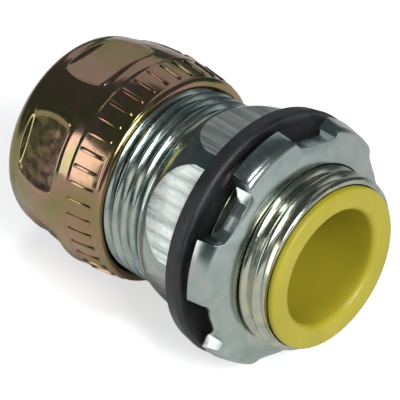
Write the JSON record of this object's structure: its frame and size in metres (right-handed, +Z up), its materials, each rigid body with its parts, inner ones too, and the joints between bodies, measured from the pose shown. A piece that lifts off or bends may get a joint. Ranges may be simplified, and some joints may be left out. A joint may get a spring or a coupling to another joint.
{
  "type": "conduit compression connector",
  "caption": "Raintight compression connector that joins thin-wall steel conduit to an electrical enclosure.",
  "frame": {"origin": "on the conduit axis at the conduit stop, level with the wrench hex shoulder that the gasket seats on", "axes": "+X along the conduit axis towards the enclosure end, +Z up, a wrench flat faces up"},
  "size_m": [0.0403, 0.0296, 0.0296],
  "materials": {
    "zinc_steel": "bright zinc plate",
    "yellow_liner": "satin moulded",
    "dichromate_steel": "iridescent yellow dichromate over zinc",
    "zinc_ring": "zinc plate",
    "seal_polymer": "matt",
    "black_rubber": "satin",
    "zinc_locknut": "bright zinc plate"
  },
  "bodies": {
    "connector": {"connector_body": "zinc_steel", "throat_insulator": "yellow_liner"},
    "gland_rings": {"split_compression_ring": "zinc_ring", "sealing_ring": "seal_polymer"},
    "gland_nut": {"compression_nut": "dichromate_steel"},
    "gasket": {"knockout_gasket": "black_rubber"},
    "lock": {"locknut": "zinc_locknut"}
  },
  "joints": [
    {"name": "gland_travel", "type": "slide", "parent": "connector", "child": "gland_rings", "axis": [1, 0, 0], "range_m": [-0.00565, 0.0024]},
    {"name": "gland_turn", "type": "hinge", "parent": "gland_rings", "child": "gland_nut", "pos_m": [-0.02, 0, 0], "axis": [1, 0, 0], "range_deg": [-1440, 612]},
    {"name": "lock_travel", "type": "slide", "parent": "connector", "child": "gasket", "axis": [1, 0, 0], "range_m": [0, 0.00454]},
    {"name": "lock_turn", "type": "hinge", "parent": "gasket", "child": "lock", "pos_m": [0.0055, 0, 0], "axis": [1, 0, 0], "range_deg": [0, 900]}
  ],
  "couplings": [
    {"joint": "gland_travel", "follows": "gland_turn", "m_per_rad": 0.00022458},
    {"joint": "lock_travel", "follows": "lock_turn", "m_per_rad": 0.00028875}
  ]
}
